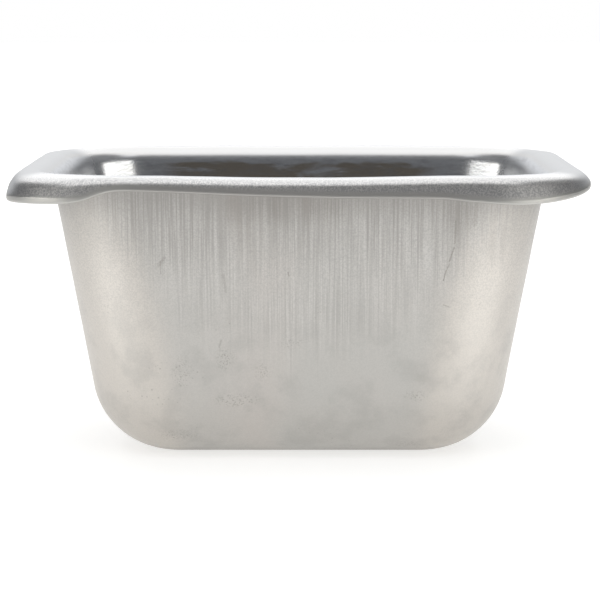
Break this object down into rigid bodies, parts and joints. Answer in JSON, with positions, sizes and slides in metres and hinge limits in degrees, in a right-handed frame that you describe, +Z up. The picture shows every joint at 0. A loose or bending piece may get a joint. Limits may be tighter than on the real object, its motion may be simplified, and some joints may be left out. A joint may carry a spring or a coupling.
{
  "type": "foot bath",
  "caption": "Open rectangular foot-soak basin pressed from one steel sheet, with leaning walls, a well-rounded floor edge and a turned-down rim that widens at the corners.",
  "frame": {"origin": "centre of the floor's flat underside", "axes": "+Z up through the open mouth, +X along the long side of the rim, +Y across it"},
  "size_m": [0.42, 0.34, 0.2125],
  "materials": {
    "steel": "drawn satin outside with fine upright draw lines, smoother and darker inside, worn"
  },
  "bodies": {
    "root": {"basin": "steel"}
  },
  "joints": []
}
